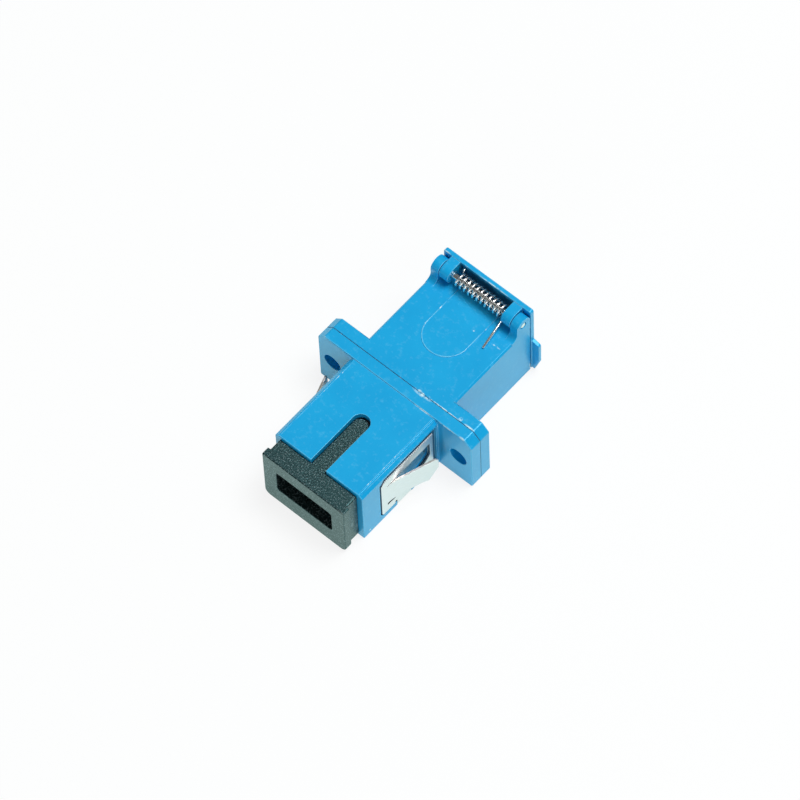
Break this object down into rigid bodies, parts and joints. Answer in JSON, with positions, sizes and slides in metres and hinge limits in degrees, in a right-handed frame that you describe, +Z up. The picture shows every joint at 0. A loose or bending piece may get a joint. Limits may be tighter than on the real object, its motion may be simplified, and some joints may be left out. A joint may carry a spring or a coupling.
{
  "type": "fibre adapter",
  "caption": "Flanged simplex fibre adapter with a panel clip on its front half, a pull-out dust plug in the front port and a sprung flip shutter over the rear port.",
  "frame": {"origin": "on the port axis, in the plane of the flange's front face, midway between the two screw holes", "axes": "+X across the flange towards the shutter's finger tab, +Y along the port axis from the dust plug to the shutter, +Z up, towards the keyway and the hinge"},
  "size_m": [0.0226, 0.0319, 0.0123],
  "materials": {
    "blue_plastic": "moulded, satin to glossy",
    "latch_plastic": "moulded, natural",
    "sleeve_ceramic": "polished white ceramic",
    "clip_steel": "bright rolled stainless sheet",
    "black_plastic": "soft, finely textured",
    "pin_steel": "ground",
    "spring_steel": "bright drawn wire"
  },
  "bodies": {
    "housing": {"front_housing": "blue_plastic", "rear_housing": "blue_plastic", "front_latch_holder": "latch_plastic", "rear_latch_holder": "latch_plastic", "alignment_sleeve": "sleeve_ceramic", "retention_clip": "clip_steel", "hinge_pin": "pin_steel", "torsion_spring": "spring_steel"},
    "plug": {"dust_plug": "black_plastic"},
    "shutter": {"shutter_door": "blue_plastic"}
  },
  "joints": [
    {"name": "shutter_hinge", "type": "hinge", "parent": "housing", "child": "shutter", "pos_m": [0, 0.0147, 0.00635], "axis": [1, 0, 0], "range_deg": [0, 105], "stiffness_Nm_per_rad": 0.0004, "springref_deg": -57.3, "deforming": ["torsion_spring"]},
    {"name": "plug_pull", "type": "slide", "parent": "housing", "child": "plug", "axis": [0, -1, 0], "range_m": [0, 0.012]}
  ]
}
